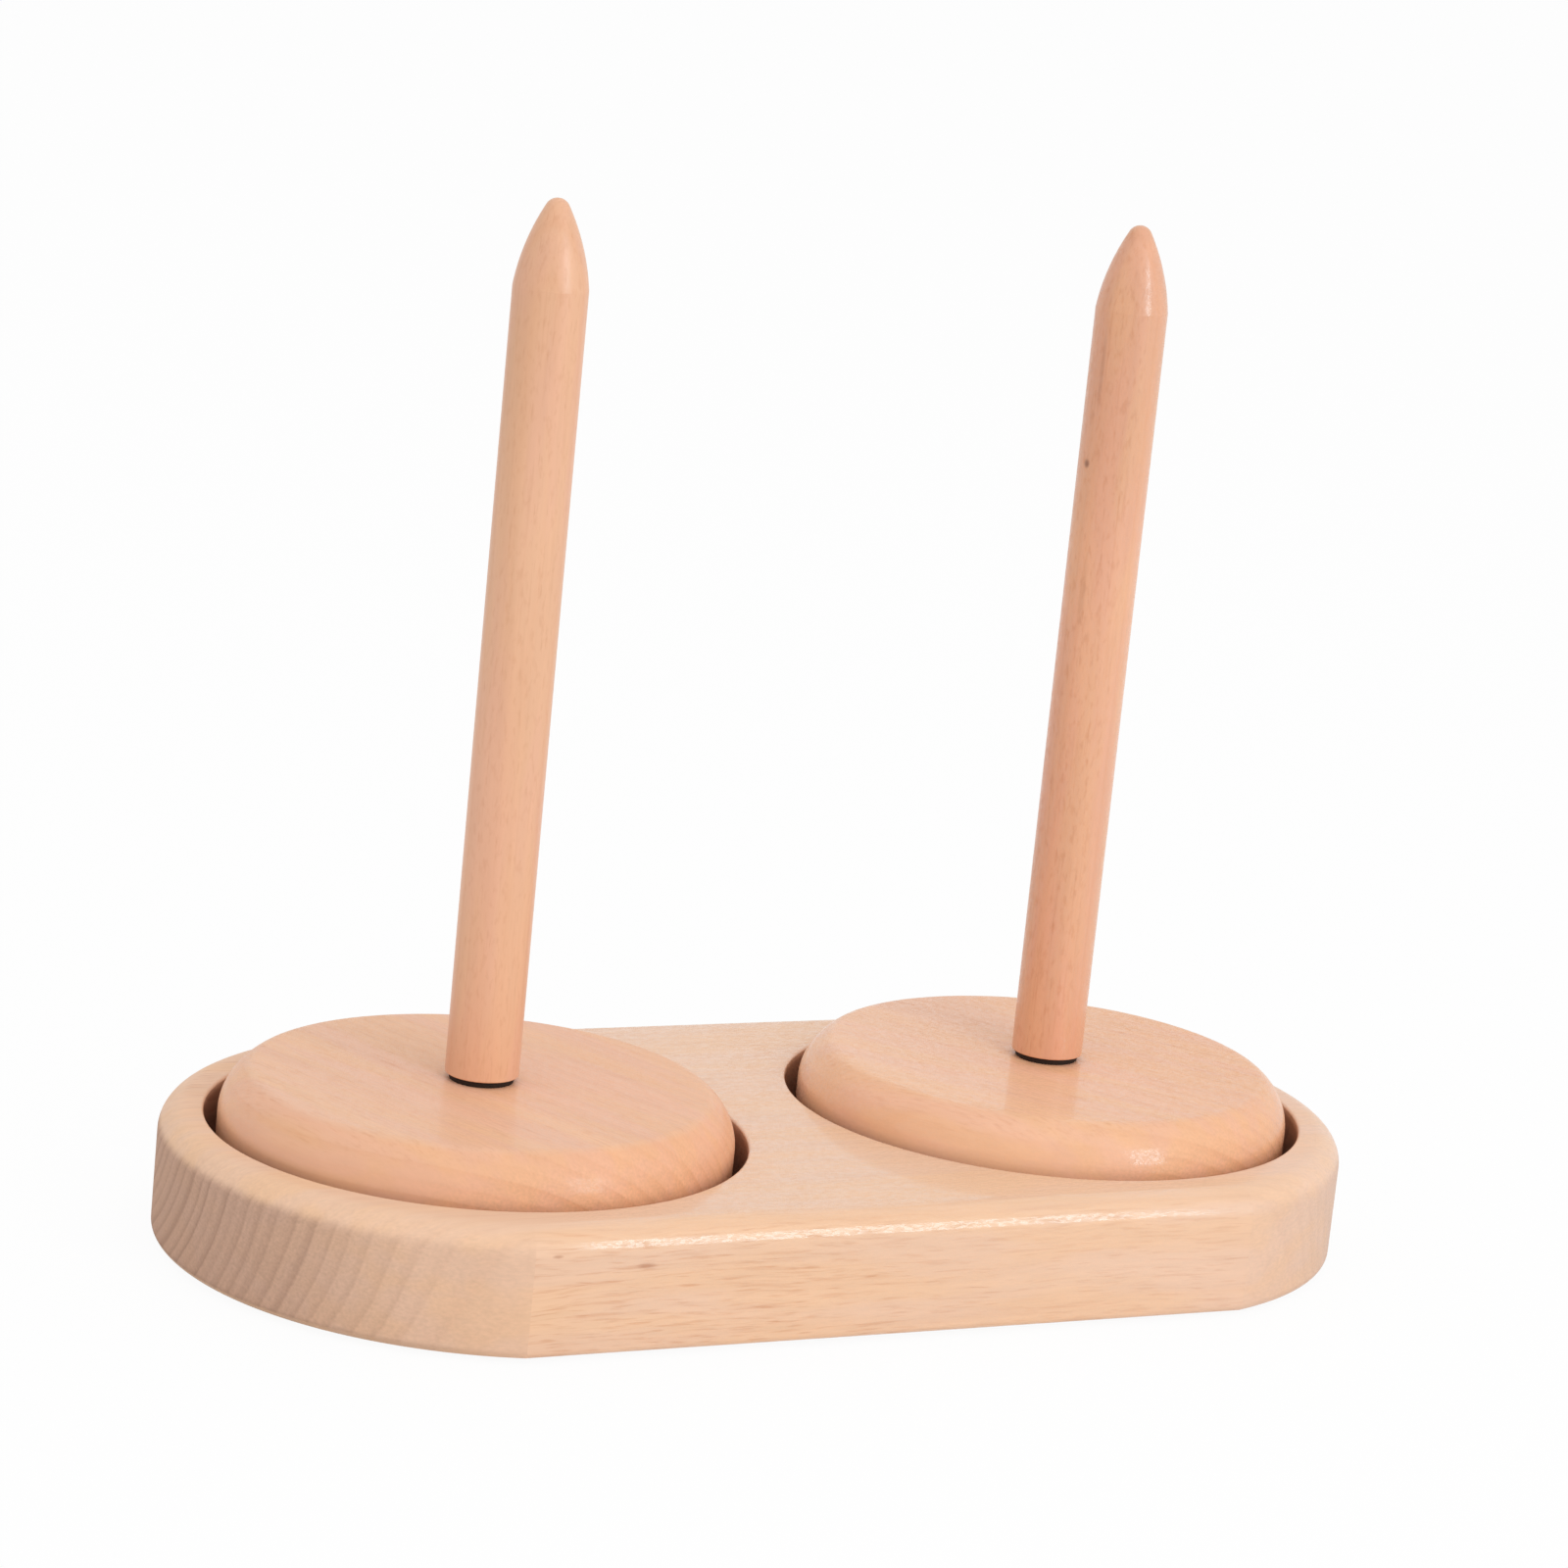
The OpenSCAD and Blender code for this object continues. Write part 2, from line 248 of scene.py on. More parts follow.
# Year rings: a slow rise to dark latewood, then a quick fall; some years are stronger
def addRings(root, wood, cut):
    sway = cut.grain.mottle(cells["sway"]) - 0.5
    fuzz = cut.grain.mottle(cells["fuzz"]) - 0.5
    cut.radius = cut.pithRadius + sway * wood["swayM"] + fuzz * wood["ringFuzzM"]
    uneven = cut.radius.ripple(habit["unevenCells"], 1)
    phase = cut.radius / wood["ringM"] + uneven * wood["ringUneven"]
    ring = phase.math("FRACT", phase)
    year = phase.math("FLOOR", phase)
    chance = root.node("TexWhiteNoise", {"noise_dimensions": "1D"}, {"W": year}, "Value")
    strength = habit["yearLeast"] + chance * habit["yearSpan"]
    cut.late = ring ** wood["latePower"] * (1 - ring.step(*edges["ringFall"])) * strength


# Fibres wander a little: long streaks and broad clouds, and vessels cut open as dashes and thin lines
def addFibres(root, wood, cut):
    wander = cut.grain.mottle(cells["wander"], 1, "Color")
    bent = {0: wander, 1: (0, wood["waveM"], wood["waveM"]), 2: cut.grain}
    wavy = root.node("VectorMath", {"operation": "MULTIPLY_ADD"}, bent)
    cutOpen = cut.sideOn * (wood["dashSpread"] + cut.backOn * (1 - wood["dashSpread"])) * cut.fade
    cut.dash = wavy.mottle(wood["dashCells"]).step(*edges["dash"]) * cutOpen
    cut.line = wavy.mottle(cells["line"]).step(*edges["line"]) * cutOpen
    cut.fibre = wavy.mottle(cells["fibre"], 3)
    cut.streak = wavy.mottle(cells["streak"])
    cut.blush = wavy.mottle(cells["blush"]).step(*edges["blush"])
    cut.cloud = cut.grain.mottle(cells["cloud"])
    cut.pore = cut.grain.mottle(cells["pore"])
    cut.speck = cut.grain.mottle(cells["speck"]).step(*edges["speck"])


# Rays: cells that are long outwards, short along the grain and very thin round the pith. End grain
# shows them as spokes
def addRays(root, wood, cut):
    waver = cut.grain.mottle(cells["waver"], 1) - 0.5
    cell = root.node("CombineXYZ", {}, {
        "X": cut.along / wood["rayLengthM"],
        "Y": cut.angle * (wood["rayReachM"] / wood["rayWidthM"]) + waver * habit["rayWaver"],
        "Z": cut.radius / wood["rayDepthM"],
    })
    spot = root.node("TexVoronoi", {}, {"Vector": cell, "Scale": 1.0, "Randomness": 1.0}, "Distance")
    pick = root.node("SeparateColor", {}, {"Color": spot.part("Color")}, 0)
    ribbon = 1 - spot.step(*edges["ray"])
    cut.ray = ribbon * pick.step(wood["rayShare"], 1.0) * cut.backOn * cut.fade
    fan = root.node("CombineXYZ", {}, {
        "X": cut.angle * habit["spokeTurn"],
        "Y": cut.radius * habit["spokeCells"],
        "Z": cut.along * habit["spokeCells"],
    })
    cut.spoke = fan.noise(1, 2)


# Pale wood and blush, then latewood, then dashes, lines and rays, then darker end grain with its rings
def grainColour(wood, cut):
    colour = cut.blush.blend(paint(*wood["pale"]), paint(*wood["blush"]))
    colour = (cut.late * wood["ringSide"]).blend(colour, paint(*wood["lateColour"]))
    flecks = cut.dash * wood["dashTone"] + cut.line * wood["lineTone"] + cut.ray * wood["rayTone"]
    colour = flecks.blend(colour, paint(*wood["rayColour"]))
    colour = (cut.endMask * wood["endTone"]).blend(colour, paint(*wood["endColour"]))
    return (cut.late * cut.ringMask * wood["ringEnd"]).blend(colour, paint(*wood["endLate"]))


# Single dark flecks and knots, each a soft ellipsoid with its place, size and tone
def addMarks(root, wood, cut, colour):
    for markPlace, markSize, markTone in wood["marks"]:
        offset = root.node("VectorMath", {"operation": "SUBTRACT"}, {0: cut.place, 1: markPlace})
        scaled = offset.stretch(*(1 / size for size in markSize))
        far = root.node("VectorMath", {"operation": "LENGTH"}, {0: scaled}, "Value")
        inside = 1 - far.step(*edges["mark"])
        colour = (inside * markTone).blend(colour, paint(*wood["markColour"]))
    return colour


# Lighter and darker wood: streaks, fibres and clouds, the texture of end grain, and painted shade along
# the lower edge
def grainTone(wood, cut):
    grit = cut.pore - 0.5
    fine = cut.radius.ripple(habit["fineCells"], 2) - 0.5
    tone = 1 + (cut.streak - 0.5) * wood["streakTone"]
    tone = tone + (cut.fibre - 0.5) * wood["fibreTone"] * cut.sideOn
    tone = tone + (cut.cloud - 0.5) * wood["cloudTone"]
    endGrain = grit * habit["poreEnd"] + (cut.spoke - 0.5) * wood["spokeTone"] + fine * wood["fineTone"]
    tone = tone + endGrain * cut.endMask + grit * (1 - cut.sideOn) * habit["poreSlant"]
    # painted shade: the end faces darken along their lower edge
    bottomShade = (1 - cut.z.step(*wood["bottomShadeBand"])) * cut.endOn.step(*edges["bottomShade"]) * cut.fade
    return tone - bottomShade * (habit["bottomShadeLeast"] + cut.pore * habit["bottomShadePore"]) * habit["bottomShadeTone"]


# Painted light and shade that change from place to place: a foot lightened by a share against the shade
# there, then painted light and shade along x and up z
def addPaintedLight(wood, cut, colour):
    if "foot" in wood:
        lowest, highest, share = wood["foot"]
        colour = colour.brighten(1 + (1 - cut.z.step(lowest, highest)) * share)
    for key, way in (("paintedLightAlong", cut.x), ("paintedLightUp", cut.z)):
        if key in wood:
            start, end, first, second = wood[key]
            colour = way.step(start, end).blend(colour.stretch(*first), colour.stretch(*second))
    return colour


# Clear-lacquered beech, cut from a solid of wood: rings round a pith line, rays as thin ribbons that
# run out from it, and fibres along it
def beech(name, wood):
    material, root = newMaterial(name)
    cut = layGrain(root, wood)
    addRings(root, wood, cut)
    addFibres(root, wood, cut)
    addRays(root, wood, cut)
    colour = addMarks(root, wood, cut, grainColour(wood, cut))
    colour = addPaintedLight(wood, cut, colour.brighten(grainTone(wood, cut)))
    dry = cut.endMask * wood["endDry"]
    gloss = wood["rough"] + (cut.fibre - 0.5) * habit["glossFibre"] + dry * habit["glossDry"]
    patchy = habit["coatLeast"] + cut.speck * habit["coatSpeck"] - cut.dash * habit["coatDash"]
    coat = wood["coat"] * (1 - dry) * patchy
    if "coatEnds" in wood:  # thin lacquer at the left end, and a little less at the right
        leftEnds, rightEnds = wood["coatEnds"]
        coat = coat * cut.along.step(*leftEnds) * (1 - cut.along.step(*rightEnds) * habit["coatRight"])
    if "pocket" in wood:  # the pockets are bare wood, and painted shade darkens their walls and floor
        pocket = wood["pocket"]
        inside = 1 - spread(abs(cut.x) - axisX, cut.y).step(*pocket["edgeM"])
        deep = inside * cut.z.step(*pocket["floorM"]) * (1 - cut.z.step(*pocket["depthM"]))
        # painted shade: the pocket walls and floor darken towards a dark brown
        colour = (deep * pocket["tone"]).blend(colour, paint(*pocket["shade"]))
        gloss = gloss + deep * pocket["rough"]
        coat = coat * (1 - deep)
    raised = cut.fibre * habit["reliefFibre"] + cut.pore * habit["reliefPore"]
    relief = raised - cut.dash * habit["reliefDash"] - cut.ray * habit["reliefRay"]
    height = {"Height": relief, "Strength": wood["bump"], "Distance": habit["reliefM"]}
    finishMaterial(root, {
        "Base Color": colour, "Roughness": gloss, "Normal": root.node("Bump", {}, height),
        "Specular IOR Level": wood["shine"], "Coat Weight": coat, "Coat Roughness": wood["coatRough"],
    })
    return material


# Black rubber: nearly matt, with a fine moulded grain
rubberLook = dict(
    clean=(46, 34, 28), dusty=(64, 53, 46), dustTone=0.5, dustEdge=(0.5, 0.8), dustCells=240,
    grainCells=2600, rough=0.62, roughSpan=0.2, shine=0.2, bump=0.25, bumpM=0.1 * mm,
)


def rubber(name, look):
    material, root = newMaterial(name)
    place = root.node("TexCoord", {}, {}, "Object")
    grain = place.noise(look["grainCells"], 3)
    dust = place.noise(look["dustCells"], 3).step(*look["dustEdge"])
    colour = (dust * look["dustTone"]).blend(paint(*look["clean"]), paint(*look["dusty"]))
    rough = look["rough"] + grain * look["roughSpan"]
    bump = root.node("Bump", {}, {"Height": grain, "Strength": look["bump"], "Distance": look["bumpM"]})
    finishMaterial(root, {
        "Base Color": colour, "Roughness": rough, "Normal": bump, "Specular IOR Level": look["shine"],
    })
    return material


# Metal with fine turning lines round the upright axis of each bearing, and faint cloudy wear
metalLook = dict(
    lineCells=9000, lineTone=0.3, lineRough=0.12, wearCells=420, wearEdge=(0.35, 0.7), wearTone=0.6,
    wearRough=0.15, bump=0.08, bumpM=0.05 * mm,
)


def turnedMetal(name, look):
    material, root = newMaterial(name)
    place = root.node("TexCoord", {}, {}, "Object")
    x, y, z = place.split()
    fine = look["lineCells"]
    rings = {"X": spread(abs(x) - axisX, y) * fine, "Y": z * fine}
    line = root.node("CombineXYZ", {}, rings).noise(1, 2) - 0.5
    wear = place.noise(look["wearCells"], 3)
    worn = wear.step(*look["wearEdge"]) * look["wearTone"] + line * look["lineTone"]
    colour = worn.blend(paint(*look["pale"]), paint(*look["dark"]))
    rough = look["rough"] + line * look["lineRough"] + (wear - 0.5) * look["wearRough"]
    bump = root.node("Bump", {}, {"Height": line, "Strength": look["bump"], "Distance": look["bumpM"]})
    finishMaterial(root, {"Base Color": colour, "Metallic": 1.0, "Roughness": rough, "Normal": bump})
    return material


# Ivory nylon of the bearing cages
nylonLook = dict(
    pale=(226, 220, 200), deep=(208, 200, 176), cloudCells=300, grainCells=1800, rough=0.42,
    roughSpan=0.15, bump=0.1, bumpM=0.05 * mm,
)


def nylon(name, look):
    material, root = newMaterial(name)
    place = root.node("TexCoord", {}, {}, "Object")
    grain = place.noise(look["grainCells"], 3)
    colour = place.noise(look["cloudCells"], 2).blend(paint(*look["pale"]), paint(*look["deep"]))
    rough = look["rough"] + grain * look["roughSpan"]
    bump = root.node("Bump", {}, {"Height": grain, "Strength": look["bump"], "Distance": look["bumpM"]})
    finishMaterial(root, {"Base Color": colour, "Roughness": rough, "Normal": bump})
    return material


# Quads of a grid of points, rows by columns, closed on itself where told
def gridQuads(rows, columns, loopRows=False, loopColumns=True):
    index = np.arange(rows * columns).reshape(rows, columns)
    if loopRows:
        index = np.vstack([index, index[:1]])
    if loopColumns:
        index = np.hstack([index, index[:, :1]])
    corners = [index[:-1, :-1], index[:-1, 1:], index[1:, 1:], index[1:, :-1]]
    return np.stack([corner.ravel() for corner in corners], 1)


# Points on an arc: centre plus radius times cosine and sine of evenly spaced angles
def arc(centreR, centreZ, radius, startDeg, endDeg, count):
    turn = np.radians(np.linspace(startDeg, endDeg, count))
    return np.stack([centreR + radius * np.cos(turn), centreZ + radius * np.sin(turn)], 1)


# A straight run between two profile points, cut into equal steps
def run(start, end, count):
    share = np.linspace(0, 1, count)[:, None]
    return np.array(start) * (1 - share) + np.array(end) * share


# A corner eased by a curve: the two runs are cut back and joined by a quadratic bend
def eased(before, corner, after, count):
    share = np.linspace(0, 1, count)[:, None]
    start, bend, end = np.array(before), np.array(corner), np.array(after)
    return start * (1 - share) ** 2 + 2 * bend * share * (1 - share) + end * share ** 2


# A turned form: each profile point (r, z) is carried round the upright axis at centreX, centreY
def turned(profile, centreX, segments, loop, centreY=0.0):
    angle = np.linspace(0, 2 * np.pi, segments, endpoint=False)
    radius, height = profile[:, :1], profile[:, 1:]
    x = centreX + radius * np.cos(angle)
    y = centreY + radius * np.sin(angle)
    z = height + 0 * angle
    points = np.stack([x, y, z], 2).reshape(-1, 3)
    return points, gridQuads(len(profile), segments, loopRows=loop)


# Several grids as one: each next grid's quads are counted on from the points before it
def joined(grids):
    starts = np.cumsum([0] + [len(points) for points, quads in grids[:-1]])
    points = np.vstack([points for points, quads in grids])
    quads = np.vstack([quads + start for (_, quads), start in zip(grids, starts)])
    return points, quads


# A grid as a smooth closed mesh that rides on a body in place of its CAD nodes
def addPiece(name, grid, body, nodes, material, sharpDeg=9.0):
    points, quads = grid
    mesh = bpy.data.meshes.new(name)
    mesh.from_pydata(points.tolist(), [], quads.tolist())
    work = bmesh.new()
    work.from_mesh(mesh)
    bmesh.ops.remove_doubles(work, verts=work.verts, dist=1e-7)
    bmesh.ops.dissolve_degenerate(work, edges=work.edges, dist=1e-8)
    bmesh.ops.recalc_face_normals(work, faces=work.faces)
    work.to_mesh(mesh)
    work.free()
    mesh.shade_smooth()
    mesh.set_sharp_from_angle(angle=math.radians(sharpDeg))
    piece = bpy.data.objects.new(name, mesh)
    scene.collection.objects.link(piece)
    mesh.materials.append(material)
    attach(piece, body)
    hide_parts(*nodes)


# Sizes that every piece shares, read from the frame
boardLow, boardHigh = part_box("base_board")
discLow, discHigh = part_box("right_turntable_disc")
postLow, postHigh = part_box("right_spindle_post")
raceLow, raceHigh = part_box("right_outer_race")
washerLow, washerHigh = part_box("right_post_washer")
boltLow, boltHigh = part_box("right_axle_bolt")
padLow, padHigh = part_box("foot_pads")
axisX = (discLow.x + discHigh.x) / 2
discRadius = (discHigh.x - discLow.x) / 2
sides = (("left", -axisX), ("right", axisX))

# Board: round ends cut by planed sides, a rounded edge, and two pockets with a bearing seat each
board = dict(
    flatInset=3.25 * mm, topRound=6.5 * mm, bottomRound=2 * mm, mouthRound=0.8 * mm, rimGap=3.25 * mm,
    seatFit=0.02 * mm, ledge=1.75 * mm, creaseEase=0.5 * mm,
    sideSteps=60, endSteps=140, middleSteps=48, roundSteps=14, wallSteps=8,
    underRows=9, holeRows=5, seatRows=4, floorRows=9, pocketRows=6, topRows=7,
)
pocketEdge = discRadius + board["rimGap"]
boardWood = dict(
    # the cut from the log
    pith=(0.0, 0.040, 0.045), turnDeg=(0, 0, 0), endStart=(0.06, 0.4), topPlain=1.0,
    # rings, fibres and rays
    ringM=3.6 * mm, ringUneven=1.6, swayM=8 * mm, ringFuzzM=0.3 * mm, latePower=2.4, waveM=3 * mm,
    dashCells=(100, 1400, 1400), dashSpread=0.3,
    rayLengthM=8 * mm, rayWidthM=0.75 * mm, rayDepthM=22 * mm, rayReachM=0.12, rayShare=0.6,
    # how strongly each shows
    ringSide=0.14, ringEnd=0.52, dashTone=0.34, lineTone=0.25, rayTone=0.35, streakTone=0.07,
    fibreTone=0.12, cloudTone=0.05, endTone=0.78, spokeTone=0.14, fineTone=0.12,
    markFade=(-0.042, -0.007), markFadeBy=0.4,
    # finish
    shine=0.15, rough=0.48, bump=0.3, coat=0.60, coatRough=0.09, endDry=1.0,
    coatEnds=((-0.088, -0.074), (0.070, 0.090)),
    # colours
    pale=(237, 195, 160), blush=(235, 196, 167), lateColour=(204, 150, 118), rayColour=(200, 136, 98),
    endColour=(186, 150, 131), endLate=(136, 102, 86), markColour=(170, 108, 76),
    # painted sheen: the board turns paler and bluer towards its right end
    paintedLightAlong=(0.0, 0.15, (1, 1, 1), (1.0, 1.025, 1.08)),
    # band of painted shade along the lower edge
    bottomShadeBand=(boardLow.z + 0.8 * mm, boardLow.z + 2.6 * mm),
    marks=[((-87.2 * mm, -77 * mm, 25.2 * mm), (1.8 * mm, 2.0 * mm, 0.6 * mm), 0.45),
           ((-65.4 * mm, -77 * mm, 21.9 * mm), (3.4 * mm, 2.6 * mm, 1.0 * mm), 0.45)],
    # painted shade in the pockets, and rougher bare wood with no coat there
    pocket=dict(
        edgeM=(pocketEdge + 0.2 * mm, pocketEdge + 0.6 * mm), floorM=(raceLow.z, raceHigh.z - 0.5 * mm),
        depthM=(boardHigh.z - 2.5 * mm, boardHigh.z - 0.3 * mm),
        tone=0.62, shade=(118, 70, 44), rough=0.3,
    ),
)


# Outline of the board's right half at an inset: planed front, round end, planed rear
def boardOutline(inset):
    halfWidth = boardHigh.y - inset
    endRadius = boardHigh.y + board["flatInset"] - inset
    endX = boardHigh.x - boardHigh.y - board["flatInset"]
    crease = math.degrees(math.asin(halfWidth / endRadius))
    creaseX = endX + endRadius * math.cos(math.radians(crease))
    near = creaseX - board["creaseEase"]
    front = run((0, -halfWidth), (near, -halfWidth), board["sideSteps"])
    easeDeg = math.degrees(board["creaseEase"] / endRadius)
    end = arc(endX, 0, endRadius, easeDeg - crease, crease - easeDeg, board["endSteps"])
    corner = np.array([[creaseX, -halfWidth], [creaseX, halfWidth]])
    return np.vstack([front, corner[:1], end, corner[1:], front[::-1] * (1, -1)])


def atHeight(outline, height):
    return np.column_stack([outline, np.full(len(outline), height)])


# Half of the board as two grids that share their edges: one runs from under the board through the
# bearing seat and the pocket to the top face, the other wraps the outer edge from top to bottom
def boardHalf():
    low, top = boardLow.z, boardHigh.z
    seatRadius = (raceHigh.x - raceLow.x) / 2 + board["seatFit"]
    holeRadius = (raceHigh.x - raceLow.x) / 2 - board["ledge"]
    mouth, edge, foot = board["mouthRound"], board["topRound"], board["bottomRound"]
    steps = board["roundSteps"]

    def loopAt(inset, height):  # outline closed by the line across the middle of the board
        outline = boardOutline(inset)
        middle = run(outline[-1], outline[0], board["middleSteps"])[1:-1]
        return atHeight(np.vstack([outline, middle]), height)

    topLoop = loopAt(edge, top)
    lowLoop = loopAt(foot, low)
    bearing = np.arctan2(topLoop[:, 1], topLoop[:, 0] - axisX)

    def circle(radius, height):
        flat = np.column_stack([axisX + radius * np.cos(bearing), radius * np.sin(bearing)])
        return atHeight(flat, height)

    def between(first, last, count):
        return [first * (1 - share) + last * share for share in np.linspace(0, 1, count)]

    holeLow, holeTop = circle(holeRadius, low), circle(holeRadius, raceLow.z)
    seatLow, seatTop = circle(seatRadius, raceLow.z), circle(seatRadius, raceHigh.z)
    floorEdge, wallTop = circle(pocketEdge, raceHigh.z), circle(pocketEdge, top - mouth)
    mouthArc = arc(pocketEdge + mouth, top - mouth, mouth, 180, 90, steps)
    rows = between(lowLoop, holeLow, board["underRows"])
    rows += between(holeLow, holeTop, board["holeRows"])[1:]
    rows += between(seatLow, seatTop, board["seatRows"])
    rows += between(seatTop, floorEdge, board["floorRows"])[1:]
    rows += between(floorEdge, wallTop, board["pocketRows"])[1:]
    rows += [circle(*point) for point in mouthArc[1:]]
    rows += between(circle(pocketEdge + mouth, top), topLoop, board["topRows"])[1:]
    inner = np.vstack(rows)
    innerQuads = gridQuads(len(rows), len(topLoop))

    profile = np.vstack([
        arc(edge, top - edge, edge, 90, 180, steps),
        run((0, top - edge), (0, low + foot), board["wallSteps"])[1:-1],
        arc(foot, low + foot, foot, 180, 270, steps),
    ])
    wall = [atHeight(boardOutline(inset), height) for inset, height in profile]
    outer = np.vstack(wall)
    outerQuads = gridQuads(len(wall), len(wall[0]), loopColumns=False)
    return joined([(inner, innerQuads), (outer, outerQuads)])


halfPoints, halfQuads = boardHalf()
otherHalf = halfPoints * (-1, 1, 1), halfQuads[:, ::-1]
addPiece("beechBoard", joined([(halfPoints, halfQuads), otherHalf]), "base", ["base_board"],
         beech("boardBeech", boardWood), sharpDeg=15)
print("board done")

# Turntable discs: flat top, a rim of one arc, a rounded lower edge, and the seat of the insert
disc = dict(
    rimRun=7 * mm, breakDeg=28, edgeEase=1.2 * mm, underRound=2 * mm, boreR=3.28 * mm,
    barrelR=3.92 * mm, barrelH=10 * mm, flangeR=9.52 * mm, flangeH=1.4 * mm,
    segments=240, boreSteps=6, topSteps=14, easeSteps=7, rimSteps=22, sideSteps=3, underSteps=12,
    lowSteps=8, flangeSteps=3, barrelSteps=4,
)
turnedWood = dict(
    # rings, fibres and rays
    endStart=(0.45, 0.8), topPlain=0.7,
    ringM=3.6 * mm, ringUneven=1.6, swayM=6 * mm, ringFuzzM=0.3 * mm, latePower=2.2, waveM=2 * mm,
    dashCells=(150, 1450, 1450), dashSpread=0.15,
    rayLengthM=6 * mm, rayWidthM=0.65 * mm, rayDepthM=16 * mm, rayReachM=0.07, rayShare=0.6,
    # how strongly each shows; the marks don't fade, and there is no painted shade along the lower edge
    ringSide=0.24, ringEnd=0.4, dashTone=0.16, lineTone=0.14, rayTone=0.12, streakTone=0.10,
    fibreTone=0.08, cloudTone=0.08, endTone=0.3, spokeTone=0.04, fineTone=0.10,
    markFade=(1.0, 2.0), markFadeBy=0.0, bottomShadeBand=(-2.0, -1.0),
    # finish
    shine=0.15, rough=0.50, bump=0.10, coat=0.36, coatRough=0.19, endDry=0.1,
    # colours
    pale=(240, 186, 145), blush=(239, 185, 151), lateColour=(220, 155, 112), rayColour=(192, 122, 82),
    endColour=(226, 166, 124), endLate=(206, 140, 98), markColour=(176, 110, 74), marks=[],
)
# Painted light on the discs: the rim is lightened just above the board, where it lies in shade, and the
# top is paler and bluer than the rim as painted sheen
rimFootLight = (boardHigh.z, boardHigh.z + 4.5 * mm, 0.1)
rimTop = (discHigh.z - 1.2 * mm, discHigh.z - 0.1 * mm)
# Painted sheen and shade across each disc: paler and bluer towards the left, darker and warmer towards
# the right
discWoods = {
    "left": dict(
        turnedWood, pith=(-axisX - 0.05, -0.018, -0.03), turnDeg=(0, 0, 110),
        pale=(236, 184, 145), blush=(235, 183, 151), coat=0.28, foot=rimFootLight,
        paintedLightAlong=(-axisX - 0.05, -axisX + 0.05, (1.0, 1.03, 1.05), (1.01, 1.0, 0.99)),
        paintedLightUp=(*rimTop, (1.0, 0.96, 0.94), (1.0, 1.02, 1.05)),
    ),
    "right": dict(
        turnedWood, pith=(axisX - 0.045, -0.03, -0.05), turnDeg=(0, 0, 124),
        ringSide=0.18, coat=0.52, coatRough=0.12, foot=rimFootLight,
        paintedLightAlong=(axisX - 0.04, axisX + 0.05, (1.0, 1.05, 1.10), (0.975, 0.955, 0.93)),
        paintedLightUp=(*rimTop, (1.0, 0.985, 0.975), (1.0, 1.0, 1.0)),
    ),
}


# From the bore over the top, round the rim and back under to the seat of the insert. The rim's arc
# leaves the top at the break angle and ends upright
def discProfile():
    low, top = discLow.z, discHigh.z
    bore, barrel, flange = disc["boreR"], disc["barrelR"], disc["flangeR"]
    barrelTop, flangeTop = low + disc["barrelH"], low + disc["flangeH"]
    breakDeg = disc["breakDeg"]
    rimRadius = disc["rimRun"] / (1 - math.sin(math.radians(breakDeg)))
    flatR = discRadius - disc["rimRun"]
    rimZ = top - rimRadius * math.cos(math.radians(breakDeg))
    ease = disc["edgeEase"]
    easeDeg = math.degrees(ease / rimRadius)
    under = disc["underRound"]
    rim = arc(discRadius - rimRadius, rimZ, rimRadius, 90 - breakDeg - easeDeg, 0, disc["rimSteps"])
    return np.vstack([
        run((bore, barrelTop), (bore, top), disc["boreSteps"]),
        run((bore, top), (flatR - ease, top), disc["topSteps"])[1:],
        eased((flatR - ease, top), (flatR, top), rim[0], disc["easeSteps"])[1:],
        rim[1:],
        run((discRadius, rimZ), (discRadius, low + under), disc["sideSteps"])[1:],
        arc(discRadius - under, low + under, under, 0, -90, disc["underSteps"])[1:],
        run((discRadius - under, low), (flange, low), disc["lowSteps"])[1:],
        run((flange, flangeTop), (barrel, flangeTop), disc["flangeSteps"]),
        run((barrel, flangeTop), (barrel, barrelTop), disc["barrelSteps"])[1:],
    ])


for side, centreX in sides:
    grid = turned(discProfile(), centreX, disc["segments"], loop=True)
    addPiece(side + "Disc", grid, side + "_turntable", [side + "_turntable_disc"],
             beech(side + "DiscBeech", discWoods[side]))
print("discs done")

# Posts: straight, with an eased foot and a pointed tip, bored from below for the insert
post = dict(
    straight=185.8 * mm, tipRound=3 * mm, tipBreakDeg=7, chamfer=0.4 * mm, holeR=4.52 * mm,
    holeDepth=17 * mm, drillDeg=118,
    segments=180, drillSteps=4, holeSteps=5, footSteps=3, easeSteps=5, sideSteps=40, bowSteps=28,
    tipSteps=24,
)
postWood = dict(
    turnedWood, dashTone=0.15, lineTone=0.10, rayTone=0.20, streakTone=0.16, cloudTone=0.14,
    dashCells=(330, 1000, 1000), dashSpread=0.35, waveM=0.8 * mm, endTone=0.0, endDry=0.0,
    shine=0.32, rough=0.40, coat=0.14, coatRough=0.22,
)
